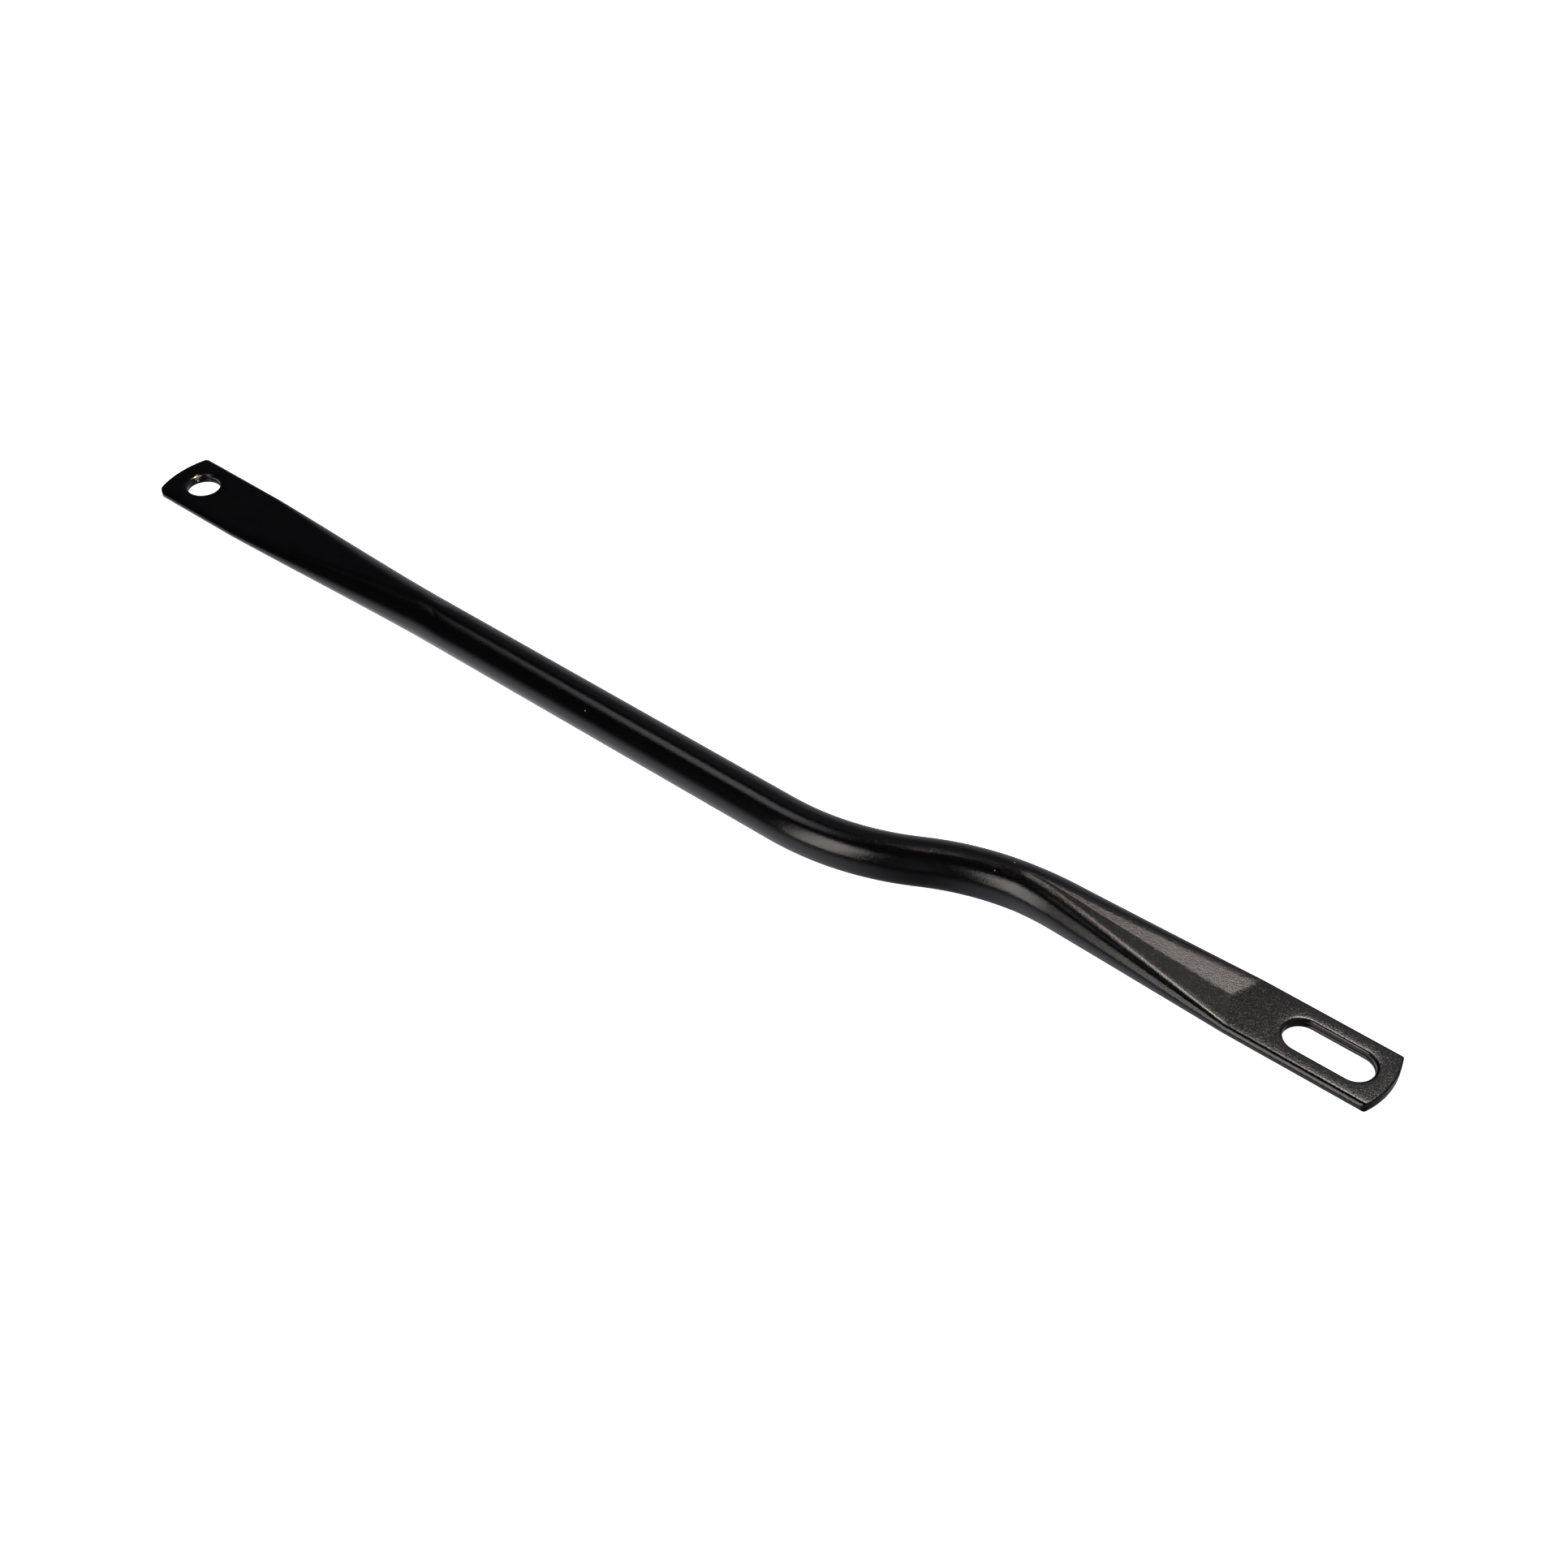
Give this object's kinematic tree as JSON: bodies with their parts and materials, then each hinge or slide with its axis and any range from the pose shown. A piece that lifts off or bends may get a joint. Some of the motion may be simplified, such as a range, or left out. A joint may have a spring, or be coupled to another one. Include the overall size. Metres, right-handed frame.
{
  "type": "joggled tube stay",
  "caption": "Straight round tube stay with crushed flat ends: a round bolt hole at one end, an obround slot at the other, and an S-shaped sideways step next to the slot.",
  "frame": {"origin": "centre of the round bolt hole, on the mid-plane of the flats", "axes": "+X along the straight tube towards the slotted end, +Y towards the side the joggle steps to, +Z along the bolt hole, square to the flats"},
  "size_m": [0.3724, 0.0371, 0.012],
  "materials": {
    "black_powder_coat": "satin black powder coat on steel tube"
  },
  "bodies": {
    "root": {"stay_tube": "black_powder_coat"}
  },
  "joints": []
}
